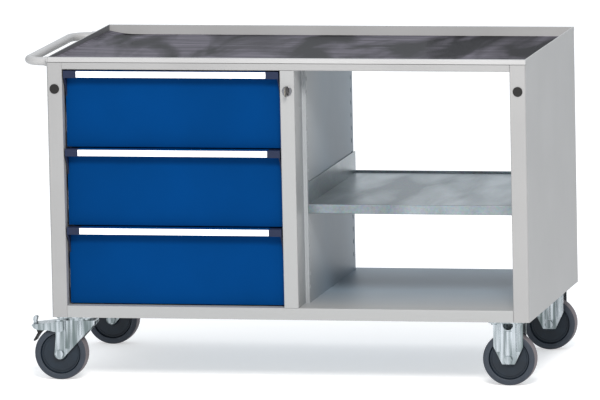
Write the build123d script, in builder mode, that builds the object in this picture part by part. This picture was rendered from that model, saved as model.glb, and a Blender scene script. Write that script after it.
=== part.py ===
from build123d import *
import os
from math import cos, radians, sin

os.makedirs("parts", exist_ok=True)

# Mobile workbench with three drawers, in millimetres.
# X runs from the push handle to the fixed castors, the drawers open towards -Y,
# Z is up. The origin is on the floor, under the middle of the whole bench.

# ---------------------------------------------------------------- overall sizes
cabinet_width = 1140
cabinet_depth = 650
body_height = 615
castor_height = 155

# ---------------------------------------------------------------- sheet metal
sheet = 1.5
base_sheet = 2.5
drawer_sheet = 1.2
shelf_sheet = 1.2
panel_bend = 5
tight_bend = 2.5
seam = 0.3

# ---------------------------------------------------------------- front frame
left_stile = 37
right_stile = 38
centre_stile = 34.5
stile_return = 22
drawer_bay_width = 521
bottom_rail = 28
rail_flange = 25

# ---------------------------------------------------------------- worktop
rim_height = 22
rim_width = 12
lip_height = 10.7
lip_gap = 1.2
mat_thickness = 3
mat_clearance = 1

# ---------------------------------------------------------------- slotted jambs
jamb_depth = 83
jamb_step = 9.5
rear_jamb_depth = 26
slot_height = 12
slot_width = 7
slot_pitch = 30.6
slot_count = 17
lowest_slot = 39.4
front_slot_inset = 9
rear_slot_inset = 23
jamb_hole_dia = 5
jamb_hole_depth = 63
jamb_hole_levels = (34, 277, 467)

# ---------------------------------------------------------------- shelf
shelf_slot = 6
shelf_clip_rise = 10.8
shelf_front = 84
shelf_rear_gap = 16
shelf_upstand = 52
shelf_lip = 22
shelf_rear_hem = 5
shelf_side_gap = 1

# ---------------------------------------------------------------- drawers
drawer_count = 3
face_gap = 3
face_recess = 26
box_height = 145
box_rise = 8
box_depth = 570
strip_height = 14.5
strip_thickness = 2
lip_face = 17
cap_width = 30.5
cheek_drop = 45
cheek_thickness = 3
bottom_hem = 12

# ---------------------------------------------------------------- drawer runners
runner_thickness = 12.7
runner_height = 45
runner_sheet = 1.3
runner_gap = 0.5
runner_length = 550
runner_inset = 30
runner_rise = 58
upright_width = 60
front_upright_inset = 100
rear_upright_inset = 70

# ---------------------------------------------------------------- push handle
handle_tube_dia = 20
handle_wall = 1.5
handle_reach = 66
handle_bend = 45
handle_drop = 12
front_arm_inset = 25
arm_spacing = 485
socket_dia = 23
socket_length = 9

# ---------------------------------------------------------------- plugs and lock
plug_level = 541
plug_hole_dia = 20
plug_head_dia = 23
plug_head = 1.6
plug_stem = 6
lock_level = 539
lock_body_dia = 19
lock_rosette_dia = 23
lock_rosette = 2.5
lock_length = 22
plug_core_dia = 12
running_clearance = 0.05
key_bow = 24
key_blade = 8
key_thickness = 2.2
key_reach = 27
cam_thickness = 2.5
cam_hub_dia = 16
cam_arm_width = 8
cam_pin_radius = 8
cam_pin_dia = 4
lock_bar_width = 14
lock_bar_thickness = 3
lock_bar_gap = 1.5

# ---------------------------------------------------------------- castors
wheel_dia = 125
wheel_width = 38
tread_thickness = 11
rim_recess = 4
axle_dia = 12
hub_dia = 30
hub_end_gap = 0.5
plate_length = 85
plate_width = 105
plate_thickness = 3
castor_inset = 57.5
swivel_inset = 50
swivel_trail = 42
leg_gap = 2.5
leg_thickness = 3
leg_foot_radius = 13
race_dia = 60
race_height = 9
crown_drop = 3
crown_fit = 0.4
kingpin_dia = 14
bolt_dia = 8
bolt_head = 5
bolt_head_dia = 14
bolt_spacing_x = 60
bolt_spacing_y = 80
fixed_leg_width = 70
fixed_foot_width = 30
fixed_foot_drop = 11
fixed_taper_rise = 30
bead_rise = 3
pedal_reach = 66
pedal_gap = 0.8
pedal_sheet = 2.5
pedal_web = 17
pedal_pivot_rise = 66
shoe_gap = 5.4
shoe_thickness = 10
shoe_waist = 138
shoe_start = 121
shoe_end = 155
shoe_tip = 4

# ---------------------------------------------------------------- derived places
wheel_overhang = wheel_dia / 2 - castor_inset
x_left = (handle_reach - wheel_overhang - cabinet_width) / 2
x_right = x_left + cabinet_width
y_front = (key_reach - cabinet_depth) / 2
y_back = y_front + cabinet_depth
z_base = castor_height
z_top = castor_height + body_height
z_floor = z_base + bottom_rail
z_tray = z_top - rim_height - mat_thickness - sheet
z_rail = z_tray - sheet

bay_left = x_left + left_stile
bay_right = bay_left + drawer_bay_width
bay_middle = (bay_left + bay_right) / 2
niche_left = bay_right + centre_stile
niche_right = x_right - right_stile
liner_left = niche_left + jamb_step
liner_right = niche_right - jamb_step

opening_height = z_rail - z_floor
face_height = (opening_height - face_gap * (drawer_count + 1)) / drawer_count
face_left = bay_left + face_gap
face_right = bay_right - face_gap
front_row = y_front + jamb_depth + front_slot_inset
rear_row = y_back - rear_jamb_depth - rear_slot_inset
z_shelf = z_floor + lowest_slot + shelf_slot * slot_pitch + shelf_clip_rise


# ---------------------------------------------------------------- small helpers
def level(z):
    """Horizontal sketch plane at height z."""
    return Plane.XY.offset(z)


def across(x):
    """Upright sketch plane at x: its own x is Y, its own y is Z."""
    return Plane.YZ.offset(x)


def facing(y):
    """Upright sketch plane at y: its own x is X, its own y is Z, it faces the front."""
    return Plane.XZ.offset(-y)


def block(x0, x1, y0, y1, z0, z1, mode=Mode.ADD):
    """Straight bar between two corners."""
    with BuildSketch(level(z0)) as section:
        with Locations(((x0 + x1) / 2, (y0 + y1) / 2)):
            Rectangle(x1 - x0, y1 - y0)
    extrude(section.sketch, amount=z1 - z0, mode=mode)


def folded(points, side, thickness=sheet, radius=panel_bend):
    """Section of a bent sheet: points run along one face, the metal lies on side."""
    with BuildLine() as outline:
        FilletPolyline(*points, radius=radius)
        offset(amount=thickness, side=side)
    make_face(outline.edges())


def disc(x, z, dia, y, length, mode=Mode.ADD):
    """Round bar that starts at y and runs towards the rear."""
    with BuildSketch(facing(y)) as section:
        with Locations((x, z)):
            Circle(dia / 2)
    extrude(section.sketch, amount=-length, mode=mode)


# ================================================================ side panels
# Each side is one sheet: the outer face, a stile folded in along its front and rear
# edges, and a return behind each stile.
def side_panel(x_outer, inward, stile):
    x_inner = x_outer + inward * stile
    points = [
        (x_inner, y_front + stile_return),
        (x_inner, y_front),
        (x_outer, y_front),
        (x_outer, y_back),
        (x_inner, y_back),
        (x_inner, y_back - stile_return),
    ]
    bends = (tight_bend, panel_bend, panel_bend, tight_bend)
    with BuildSketch(level(z_base)) as section:
        folded(points, Side.RIGHT if inward > 0 else Side.LEFT, radius=bends)
    extrude(section.sketch, amount=body_height)
    x_low = min(x_outer, x_inner) - 1
    x_high = max(x_outer, x_inner) + 1
    notch = rim_width + seam
    z_notch = z_top - lip_height - lip_gap
    block(x_low, x_high, y_front - 1, y_front + notch, z_notch, z_top + 1, Mode.SUBTRACT)
    block(x_low, x_high, y_back - notch, y_back + 1, z_notch, z_top + 1, Mode.SUBTRACT)
    x_return = x_inner - inward * (tight_bend + sheet)
    x_in = min(x_return, x_inner + inward)
    x_out = max(x_return, x_inner + inward)
    behind = sheet + seam
    block(x_in, x_out, y_front + behind, y_back - behind, z_base - 1, z_floor, Mode.SUBTRACT)
    x_tray = x_outer + inward * sheet
    x_low = min(x_tray, x_inner + inward)
    x_high = max(x_tray, x_inner + inward)
    block(x_low, x_high, y_front + behind, y_back - behind, z_tray, z_top + 1, Mode.SUBTRACT)
    disc(x_outer + inward * stile / 2, z_base + plug_level, plug_hole_dia, y_front - 1,
         stile_return, Mode.SUBTRACT)


with BuildPart() as left_side_panel:
    side_panel(x_left, 1, left_stile)
left_side_panel.part.label = "left_side_panel"
export_step(left_side_panel.part, "parts/left_side_panel.step")

with BuildPart() as right_side_panel:
    side_panel(x_right, -1, right_stile)
right_side_panel.part.label = "right_side_panel"
export_step(right_side_panel.part, "parts/right_side_panel.step")


# ================================================================ partition and liner
# The partition is one folded sheet: centre stile, front jamb, slotted wall, rear jamb.
# The liner is its mirror image inside the right side panel, without a stile.
def shelf_slots(x, y):
    """One column of slots through a slotted wall."""
    for number in range(slot_count):
        z = z_floor + lowest_slot + number * slot_pitch
        with BuildSketch(across(x - jamb_step / 2)) as section:
            with Locations((y, z)):
                SlotOverall(slot_height, slot_width, rotation=90)
        extrude(section.sketch, amount=jamb_step, mode=Mode.SUBTRACT)


def jamb_holes(x):
    """Small fixing holes down a front jamb."""
    for rise in jamb_hole_levels:
        with BuildSketch(across(x - panel_bend)) as section:
            with Locations((y_front + jamb_hole_depth, z_floor + rise)):
                Circle(jamb_hole_dia / 2)
        extrude(section.sketch, amount=2 * panel_bend, mode=Mode.SUBTRACT)


lock_x = (bay_right + niche_left) / 2
lock_z = z_base + lock_level
bar_front = y_front + lock_length + cam_thickness + lock_bar_gap
bar_back = bar_front + lock_bar_thickness
bar_half = lock_bar_width / 2
guide_levels = (z_floor + opening_height / 4, z_floor + opening_height * 5 / 8)
guide_height = 12
guide_wall = 4

with BuildPart() as partition_wall:
    partition_points = [
        (bay_right, y_front + stile_return),
        (bay_right, y_front),
        (niche_left, y_front),
        (niche_left, y_front + jamb_depth),
        (liner_left, y_front + jamb_depth),
        (liner_left, y_back - rear_jamb_depth),
        (niche_left, y_back - rear_jamb_depth),
        (niche_left, y_back),
        (bay_right, y_back),
        (bay_right, y_back - stile_return),
    ]
    with BuildSketch(level(z_floor)):
        folded(partition_points, Side.LEFT, radius=tight_bend)
    extrude(amount=opening_height)
    shelf_slots(liner_left, front_row)
    shelf_slots(liner_left, rear_row)
    jamb_holes(niche_left)
    for guide_z in guide_levels:
        block(lock_x - bar_half - guide_wall, niche_left - sheet, bar_front - seam - guide_wall / 2,
              bar_back + seam + guide_wall / 2, guide_z, guide_z + guide_height)
        block(lock_x - bar_half - seam, lock_x + bar_half + seam, bar_front - seam,
              bar_back + seam, guide_z - 1, guide_z + guide_height + 1, Mode.SUBTRACT)
    disc(lock_x, lock_z, lock_body_dia + 2 * seam, y_front - 1, stile_return, Mode.SUBTRACT)
partition_wall.part.label = "partition_wall"
export_step(partition_wall.part, "parts/partition_wall.step")

with BuildPart() as right_liner:
    liner_points = [
        (niche_right + sheet, y_front + stile_return / 2),
        (niche_right + sheet, y_front + jamb_depth),
        (liner_right, y_front + jamb_depth),
        (liner_right, y_back - rear_jamb_depth),
        (niche_right + sheet, y_back - rear_jamb_depth),
        (niche_right + sheet, y_back - stile_return / 2),
    ]
    with BuildSketch(level(z_floor)):
        folded(liner_points, Side.RIGHT, radius=tight_bend)
    extrude(amount=opening_height)
    shelf_slots(liner_right, front_row)
    shelf_slots(liner_right, rear_row)
    jamb_holes(niche_right + sheet)
right_liner.part.label = "right_liner"
export_step(right_liner.part, "parts/right_liner.step")


# ================================================================ rails and base
# Two angle rails under the tray, front and rear, and a folded base tray that makes
# the bottom rails and the floor. Two channels below the base carry the castors.
with BuildPart() as top_rails:
    rail_points = [
        (y_front + rail_flange, z_rail),
        (y_front, z_rail),
        (y_front, z_top - lip_height - lip_gap),
    ]
    with BuildSketch(across(bay_left)):
        folded(rail_points, Side.RIGHT, radius=tight_bend)
    extrude(amount=niche_right - bay_left)
    mirror(about=Plane.XZ.offset(-(y_front + y_back) / 2))
top_rails.part.label = "top_rails"
export_step(top_rails.part, "parts/top_rails.step")

with BuildPart() as base_panel:
    base_points = [
        (y_front, z_base),
        (y_front, z_floor),
        (y_back, z_floor),
        (y_back, z_base),
    ]
    with BuildSketch(across(bay_left)):
        folded(base_points, Side.RIGHT, radius=tight_bend)
    extrude(amount=niche_right - bay_left)
    behind_stile = stile_return + seam
    block(x_left + sheet, bay_left, y_front + behind_stile, y_back - behind_stile,
          z_floor - sheet, z_floor)
    block(niche_right, x_right - sheet, y_front + behind_stile, y_back - behind_stile,
          z_floor - sheet, z_floor)
base_panel.part.label = "base_panel"
export_step(base_panel.part, "parts/base_panel.step")

crossmember_width = castor_inset + plate_length / 2 + 2 * base_sheet
castor_left = x_left + swivel_inset
castor_right = x_right - castor_inset
castor_front = y_front + castor_inset
castor_rear = y_back - castor_inset


def bolt_places(x, y):
    """The four bolt centres of one castor plate."""
    places = []
    for dx in (-bolt_spacing_x / 2, bolt_spacing_x / 2):
        for dy in (-bolt_spacing_y / 2, bolt_spacing_y / 2):
            places.append((x + dx, y + dy))
    return places


def crossmember(x_wall, x_inner, side):
    """Channel open at the top, from the front face to the rear face of the base."""
    points = [
        (x_wall, z_floor - sheet),
        (x_wall, z_base),
        (x_inner, z_base),
        (x_inner, z_floor - sheet),
    ]
    with BuildSketch(facing(y_back - panel_bend)) as section:
        folded(points, side, thickness=base_sheet)
    extrude(section.sketch, amount=cabinet_depth - 2 * panel_bend)
    x_castor = castor_left if x_wall < x_inner else castor_right
    for y_castor in (castor_front, castor_rear):
        with BuildSketch(level(z_base)) as section:
            with Locations(*bolt_places(x_castor, y_castor)):
                Circle(bolt_dia / 2)
        extrude(section.sketch, amount=base_sheet, mode=Mode.SUBTRACT)


with BuildPart() as base_channels:
    crossmember(x_left + sheet, x_left + sheet + crossmember_width, Side.LEFT)
    crossmember(x_right - sheet, x_right - sheet - crossmember_width, Side.RIGHT)
base_channels.part.label = "base_channels"
export_step(base_channels.part, "parts/base_channels.step")


# ================================================================ drawer bay
# Four channels stand in the corners of the bay and carry the runners. A sheet with
# folded edges closes the rear.
def upright(x_wall, x_face, side):
    y_first = y_front + front_upright_inset
    y_second = y_back - rear_upright_inset - upright_width
    for y in (y_first, y_second):
        points = [
            (x_wall, y),
            (x_face, y),
            (x_face, y + upright_width),
            (x_wall, y + upright_width),
        ]
        with BuildSketch(level(z_floor)) as section:
            folded(points, side, radius=tight_bend)
        extrude(section.sketch, amount=opening_height)


with BuildPart() as drawer_uprights:
    upright(x_left + sheet, bay_left, Side.LEFT)
    upright(liner_left - sheet, bay_right, Side.RIGHT)
drawer_uprights.part.label = "drawer_uprights"
export_step(drawer_uprights.part, "parts/drawer_uprights.step")

with BuildPart() as drawer_bay_back:
    back_points = [
        (bay_left + seam, y_back - stile_return / 2),
        (bay_left + seam, y_back),
        (bay_right - seam, y_back),
        (bay_right - seam, y_back - stile_return / 2),
    ]
    with BuildSketch(level(z_floor)):
        folded(back_points, Side.RIGHT, radius=tight_bend)
    extrude(amount=opening_height)
drawer_bay_back.part.label = "drawer_bay_back"
export_step(drawer_bay_back.part, "parts/drawer_bay_back.step")


# ================================================================ worktop
# A sheet tray lies on the rails. Its front and rear rims are folded over and hang down
# as a lip, its side rims stand against the side panels. A rubber mat lies in it.
tray_left = x_left + sheet
tray_right = x_right - sheet
rim_front = y_front + rim_width
rim_rear = y_back - rim_width

with BuildPart() as worktop_tray:
    tray_points = [
        (rim_front - sheet, z_top),
        (rim_front - sheet, z_tray),
        (rim_rear + sheet, z_tray),
        (rim_rear + sheet, z_top),
    ]
    with BuildSketch(across(tray_left)):
        folded(tray_points, Side.LEFT, radius=tight_bend)
    extrude(amount=tray_right - tray_left)
    lip_points = [
        (rim_front, z_top),
        (y_front, z_top),
        (y_front, z_top - lip_height),
    ]
    with BuildSketch(across(x_left)):
        folded(lip_points, Side.LEFT, radius=tight_bend)
    extrude(amount=cabinet_width)
    rear_lip_points = [
        (rim_rear, z_top),
        (y_back, z_top),
        (y_back, z_top - lip_height),
    ]
    with BuildSketch(across(x_left)):
        folded(rear_lip_points, Side.RIGHT, radius=tight_bend)
    extrude(amount=cabinet_width)
    for x_end in (x_left, x_right - sheet):
        for y_end in (y_front + sheet, rim_rear):
            block(x_end, x_end + sheet, y_end, y_end + rim_width - sheet,
                  z_top - lip_height, z_top - sheet)
    for x_rim in (tray_left, tray_right - sheet):
        block(x_rim, x_rim + sheet, rim_front - sheet, rim_rear + sheet, z_tray, z_top)
worktop_tray.part.label = "worktop_tray"
export_step(worktop_tray.part, "parts/worktop_tray.step")

mat_left = tray_left + sheet + mat_clearance
mat_right = tray_right - sheet - mat_clearance
mat_front = rim_front + mat_clearance
mat_rear = rim_rear - mat_clearance

with BuildPart() as rubber_mat:
    block(mat_left, mat_right, mat_front, mat_rear, z_tray + sheet, z_tray + sheet + mat_thickness)
    fillet(rubber_mat.edges().group_by(Axis.Z)[-1], mat_thickness / 3)
rubber_mat.part.label = "rubber_mat"
export_step(rubber_mat.part, "parts/rubber_mat.step")


# ================================================================ push handle
# One bent tube, welded into two round sockets on the left side panel.
z_handle = z_top - handle_drop
front_arm = y_front + front_arm_inset
rear_arm = front_arm + arm_spacing
x_bar = x_left - handle_reach + handle_tube_dia / 2

with BuildPart() as push_handle:
    with BuildLine() as handle_path:
        FilletPolyline(
            (x_left, front_arm, z_handle),
            (x_bar, front_arm, z_handle),
            (x_bar, rear_arm, z_handle),
            (x_left, rear_arm, z_handle),
            radius=handle_bend,
        )
    with BuildSketch(Plane(origin=handle_path.line @ 0, z_dir=handle_path.line % 0)):
        Circle(handle_tube_dia / 2)
        Circle(handle_tube_dia / 2 - handle_wall, mode=Mode.SUBTRACT)
    sweep(path=handle_path.line)
    for y_arm in (front_arm, rear_arm):
        with BuildSketch(across(x_left - socket_length)):
            with Locations((y_arm, z_handle)):
                Circle(socket_dia / 2)
        extrude(amount=socket_length)
        with BuildSketch(across(x_left - socket_length)):
            with Locations((y_arm, z_handle)):
                Circle(handle_tube_dia / 2 - handle_wall)
        extrude(amount=socket_length - sheet, mode=Mode.SUBTRACT)
push_handle.part.label = "push_handle"
export_step(push_handle.part, "parts/push_handle.step")


# ================================================================ hole plugs
# Two domed plastic plugs snapped into the holes of the outer front stiles.
with BuildPart() as hole_plugs:
    for plug_x in (x_left + left_stile / 2, x_right - right_stile / 2):
        plug_z = z_base + plug_level
        disc(plug_x, plug_z, plug_head_dia, y_front - plug_head, plug_head)
        disc(plug_x, plug_z, plug_hole_dia - 2 * seam, y_front, plug_stem)
    fillet(hole_plugs.edges().filter_by(GeomType.CIRCLE).group_by(Axis.Y)[0], plug_head / 2)
hole_plugs.part.label = "hole_plugs"
export_step(hole_plugs.part, "parts/hole_plugs.step")


# ================================================================ lock
# A cam lock in the centre stile. The turning core carries the key and the cam, and the
# cam's pin lifts a bar that runs down behind the stile.
rosette_front = y_front - lock_rosette
core_length = lock_length + lock_rosette

with BuildPart() as lock_barrel:
    disc(lock_x, lock_z, lock_rosette_dia, rosette_front, lock_rosette)
    disc(lock_x, lock_z, lock_body_dia, y_front, lock_length)
    disc(lock_x, lock_z, plug_core_dia + 2 * running_clearance, rosette_front, core_length,
         Mode.SUBTRACT)
    fillet(lock_barrel.edges().filter_by(GeomType.CIRCLE).group_by(Axis.Y)[0].sort_by(
        SortBy.LENGTH)[-1], lock_rosette / 3)
lock_barrel.part.label = "lock_barrel"
export_step(lock_barrel.part, "parts/lock_barrel.step")

key_slot = key_thickness + 2 * running_clearance
blade_slot = key_blade + 2 * running_clearance
blade_length = core_length * 0.8

with BuildPart() as lock_core:
    disc(lock_x, lock_z, plug_core_dia, rosette_front, core_length)
    block(lock_x - key_slot / 2, lock_x + key_slot / 2, rosette_front - 1,
          rosette_front + blade_length, lock_z - blade_slot / 2, lock_z + blade_slot / 2,
          Mode.SUBTRACT)
lock_core.part.label = "lock_core"
export_step(lock_core.part, "parts/lock_core.step")

bow_centre = y_front - key_reach + key_bow / 2

with BuildPart() as lock_key:
    with BuildSketch(across(lock_x - key_thickness / 2)):
        with Locations((bow_centre, lock_z)):
            Circle(key_bow / 2)
        with Locations(((bow_centre + rosette_front + blade_length) / 2, lock_z)):
            Rectangle(rosette_front + blade_length - bow_centre, key_blade)
        with Locations((bow_centre - key_bow / 5, lock_z)):
            Circle(key_bow / 6, mode=Mode.SUBTRACT)
    extrude(amount=key_thickness)
lock_key.part.label = "lock_key"
export_step(lock_key.part, "parts/lock_key.step")

cam_front = y_front + lock_length
cam_pin_length = cam_thickness + lock_bar_gap + lock_bar_thickness + 1

with BuildPart() as lock_cam:
    with BuildSketch(facing(cam_front)):
        with Locations((lock_x, lock_z)):
            Circle(cam_hub_dia / 2)
        with Locations((lock_x, lock_z - cam_pin_radius / 2)):
            Rectangle(cam_arm_width, cam_pin_radius)
        with Locations((lock_x, lock_z - cam_pin_radius)):
            Circle(cam_arm_width / 2)
    extrude(amount=-cam_thickness)
    disc(lock_x, lock_z - cam_pin_radius, cam_pin_dia, cam_front, cam_pin_length)
lock_cam.part.label = "lock_cam"
export_step(lock_cam.part, "parts/lock_cam.step")

# The pin's slot is taller than the pin, because the bar rises evenly with the turn.
bar_slot_height = cam_pin_dia + cam_pin_radius * 0.6
bar_slot_left = lock_x - cam_pin_radius - cam_pin_dia / 2 - 1
bar_slot_right = lock_x + cam_pin_dia / 2 + 1
bar_head_height = bar_slot_height + 10
bar_foot = z_floor + box_rise
tab_length = 8

with BuildPart() as lock_bar:
    bar_head_z = lock_z - cam_pin_radius
    block(bar_slot_left - 2, bar_slot_right + 4, bar_front, bar_back,
          bar_head_z - bar_head_height / 2, bar_head_z + bar_head_height / 2)
    block(lock_x - bar_half, lock_x + bar_half, bar_front, bar_back, bar_foot, bar_head_z)
    block(bar_slot_left, bar_slot_right, bar_front - 1, bar_back + 1,
          bar_head_z - bar_slot_height / 2, bar_head_z + bar_slot_height / 2, Mode.SUBTRACT)
    for number in range(drawer_count):
        tab_z = z_floor + face_gap + number * (face_height + face_gap) + box_rise
        block(lock_x - bar_half, lock_x + bar_half, bar_back, bar_back + tab_length, tab_z,
              tab_z + lock_bar_thickness)
lock_bar.part.label = "lock_bar"
export_step(lock_bar.part, "parts/lock_bar.step")


# ================================================================ shelf
# A galvanised shelf between the slotted walls: lip down at the front, low hem up at
# the rear, high sides. Four steel clips hang in the slots and carry it.
shelf_left = liner_left + shelf_side_gap
shelf_right = liner_right - shelf_side_gap
y_shelf = y_front + shelf_front
y_shelf_rear = y_back - shelf_rear_gap
shelf_lip_return = 10

with BuildPart() as shelf:
    shelf_points = [
        (y_shelf + shelf_lip_return, z_shelf - shelf_lip),
        (y_shelf, z_shelf - shelf_lip),
        (y_shelf, z_shelf),
        (y_shelf_rear, z_shelf),
        (y_shelf_rear, z_shelf + shelf_rear_hem),
    ]
    with BuildSketch(across(shelf_left)):
        folded(shelf_points, Side.RIGHT, thickness=shelf_sheet, radius=shelf_sheet * 1.5)
    extrude(amount=shelf_right - shelf_left)
    for x_side in (shelf_left, shelf_right - shelf_sheet):
        block(x_side, x_side + shelf_sheet, y_shelf + shelf_sheet, y_shelf_rear,
              z_shelf - shelf_sheet, z_shelf + shelf_upstand)
shelf.part.label = "shelf"
export_step(shelf.part, "parts/shelf.step")

clip_sheet = 2
clip_ledge = 14
clip_width = 12
clip_neck = slot_width / 2
z_clip_slot = z_floor + lowest_slot + shelf_slot * slot_pitch
z_ledge = z_shelf - shelf_sheet


def shelf_clip(x_wall, inward, y):
    """Hook behind the slot, neck through it, upright and ledge in front of it."""
    x_hook = x_wall - inward * (sheet + clip_sheet)
    x_face = x_wall + inward * clip_sheet
    x_tip = x_wall + inward * clip_ledge
    hook_half = slot_height / 2 - 1
    for x_a, x_b, half, z_a, z_b in (
        (x_hook, x_face, clip_neck / 2, z_clip_slot - hook_half, z_clip_slot + hook_half / 2),
        (x_hook, x_wall - inward * sheet, clip_neck / 2, z_clip_slot - slot_height, z_clip_slot),
        (x_wall, x_face, clip_width / 2, z_clip_slot - hook_half, z_ledge),
        (x_wall, x_tip, clip_width / 2, z_ledge - clip_sheet, z_ledge),
    ):
        block(min(x_a, x_b), max(x_a, x_b), y - half, y + half, z_a, z_b)


with BuildPart() as shelf_clips:
    for y_row in (front_row, rear_row):
        shelf_clip(liner_left, 1, y_row)
        shelf_clip(liner_right, -1, y_row)
shelf_clips.part.label = "shelf_clips"
export_step(shelf_clips.part, "parts/shelf_clips.step")


# ================================================================ drawer runners
# Telescopic runners: a channel on the uprights, a middle channel, and a channel on the
# drawer, nested with a small gap for the balls.
runner_front = y_front + runner_inset
outer_half = runner_height / 2
middle_half = outer_half - runner_sheet - runner_gap
inner_half = middle_half - runner_sheet - runner_gap
inner_back = runner_sheet + runner_gap
core_back = 2 * (runner_sheet + runner_gap)


def drawer_floor(number):
    """Height of a drawer face's bottom edge, counted from the top drawer."""
    return z_rail - number * (face_height + face_gap)


def channel(x_back, x_open, half, z_middle):
    """C channel with its back at x_back and its edges at x_open."""
    x_low = min(x_back, x_open)
    x_high = max(x_back, x_open)
    x_web = x_back + (runner_sheet if x_open > x_back else -runner_sheet)
    y_rear = runner_front + runner_length
    block(min(x_back, x_web), max(x_back, x_web), runner_front, y_rear, z_middle - half,
          z_middle + half)
    block(x_low, x_high, runner_front, y_rear, z_middle + half - runner_sheet, z_middle + half)
    block(x_low, x_high, runner_front, y_rear, z_middle - half, z_middle - half + runner_sheet)


def runner_pair(offset_back, offset_open, half, number):
    """A channel at each side of the bay, its faces counted inwards from the bay's sides."""
    z_middle = drawer_floor(number) + runner_rise
    channel(bay_left + offset_back, bay_left + offset_open, half, z_middle)
    channel(bay_right - offset_back, bay_right - offset_open, half, z_middle)


with BuildPart() as cabinet_runners:
    for number in range(1, drawer_count + 1):
        runner_pair(0, runner_thickness - runner_gap, outer_half, number)
cabinet_runners.part.label = "cabinet_runners"
export_step(cabinet_runners.part, "parts/cabinet_runners.step")

for number in range(1, drawer_count + 1):
    with BuildPart() as middle_runners:
        runner_pair(inner_back, runner_thickness - 2 * runner_gap - runner_sheet, middle_half, number)
    middle_runners.part.label = f"middle_runners_{number}"
    export_step(middle_runners.part, f"parts/middle_runners_{number}.step")

    with BuildPart() as drawer_runners:
        runner_pair(runner_thickness, core_back, inner_half, number)
    drawer_runners.part.label = f"drawer_runners_{number}"
    export_step(drawer_runners.part, f"parts/drawer_runners_{number}.step")


# ================================================================ drawers
# Folded steel box, folded front with a grip channel along its top, a white label strip
# in the channel's lip, and a plastic cap at each end of the channel.
y_face = y_front + face_recess
box_left = bay_left + runner_thickness
box_right = bay_right - runner_thickness
box_front = y_face + drawer_sheet
grip_left = face_left + cap_width
grip_right = face_right - cap_width


def drawer_box(z_face):
    z_box = z_face + box_rise
    block(box_left, box_right, box_front, box_front + box_depth, z_box, z_box + box_height)
    block(box_left + drawer_sheet, box_right - drawer_sheet, box_front + drawer_sheet,
          box_front + box_depth - drawer_sheet, z_box + drawer_sheet, z_box + box_height + 1,
          Mode.SUBTRACT)


def drawer_front(z_face):
    z_fold = z_face + face_height - drawer_sheet
    y_lip = y_front + strip_thickness + drawer_sheet
    points = [
        (y_face + bottom_hem, z_face),
        (y_face, z_face),
        (y_face, z_fold),
        (y_lip, z_fold),
        (y_lip, z_fold + drawer_sheet - lip_face),
    ]
    with BuildSketch(across(grip_left)) as section:
        with BuildLine():
            Polyline(*points)
            offset(amount=drawer_sheet, side=Side.RIGHT, kind=Kind.INTERSECTION)
        make_face()
    extrude(section.sketch, amount=grip_right - grip_left)
    for x_a, x_b in ((face_left, grip_left), (grip_right, face_right)):
        with BuildSketch(across(x_a)) as section:
            with BuildLine():
                Polyline(*points[:3])
                offset(amount=drawer_sheet, side=Side.RIGHT, kind=Kind.INTERSECTION)
            make_face()
        extrude(section.sketch, amount=x_b - x_a)


def grip_strip(z_face):
    z_strip = z_face + face_height - (lip_face + strip_height) / 2
    block(grip_left, grip_right, y_front, y_front + strip_thickness, z_strip, z_strip + strip_height)


def end_caps(z_face):
    """A block at the end of the channel, and a cheek that tapers down to the face."""
    z_cap = z_face + face_height
    block(face_left, grip_left - seam, y_front, y_face, z_cap - lip_face, z_cap)
    with BuildSketch(across(face_left)) as section:
        with BuildLine():
            Polyline(
                (y_front, z_cap - lip_face),
                (y_face, z_cap - lip_face),
                (y_face, z_cap - lip_face - cheek_drop),
            )
            ThreePointArc(
                (y_face, z_cap - lip_face - cheek_drop),
                (y_front + face_recess * 0.5, z_cap - lip_face - cheek_drop * 0.35),
                (y_front, z_cap - lip_face),
            )
        make_face()
    extrude(section.sketch, amount=cheek_thickness)
    mirror(about=Plane.YZ.offset(bay_middle))


for number in range(1, drawer_count + 1):
    with BuildPart() as box:
        drawer_box(drawer_floor(number))
    box.part.label = f"drawer_box_{number}"
    export_step(box.part, f"parts/drawer_box_{number}.step")

    with BuildPart() as front:
        drawer_front(drawer_floor(number))
    front.part.label = f"drawer_front_{number}"
    export_step(front.part, f"parts/drawer_front_{number}.step")

    with BuildPart() as strip:
        grip_strip(drawer_floor(number))
    strip.part.label = f"label_strip_{number}"
    export_step(strip.part, f"parts/label_strip_{number}.step")

    with BuildPart() as caps:
        end_caps(drawer_floor(number))
    caps.part.label = f"grip_caps_{number}"
    export_step(caps.part, f"parts/grip_caps_{number}.step")


# ================================================================ castors
# Two swivel castors with brakes under the handle end and two fixed castors under the
# other end. All four have the same wheel: a plastic rim with a moulded tread.
z_axle = wheel_dia / 2
z_plate = castor_height - plate_thickness
leg_inside = wheel_width / 2 + leg_gap
leg_outside = leg_inside + leg_thickness
hub_half = leg_inside - hub_end_gap
swivel_axle_x = castor_left - swivel_trail
plate_corner = 10


def castor_plate(x, y):
    """Top plate with rounded corners and four bolt holes."""
    with BuildSketch(level(z_plate)) as section:
        with Locations((x, y)):
            RectangleRounded(plate_length, plate_width, plate_corner)
        with Locations(*bolt_places(x, y)):
            Circle(bolt_dia / 2, mode=Mode.SUBTRACT)
    extrude(section.sketch, amount=plate_thickness)


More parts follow.
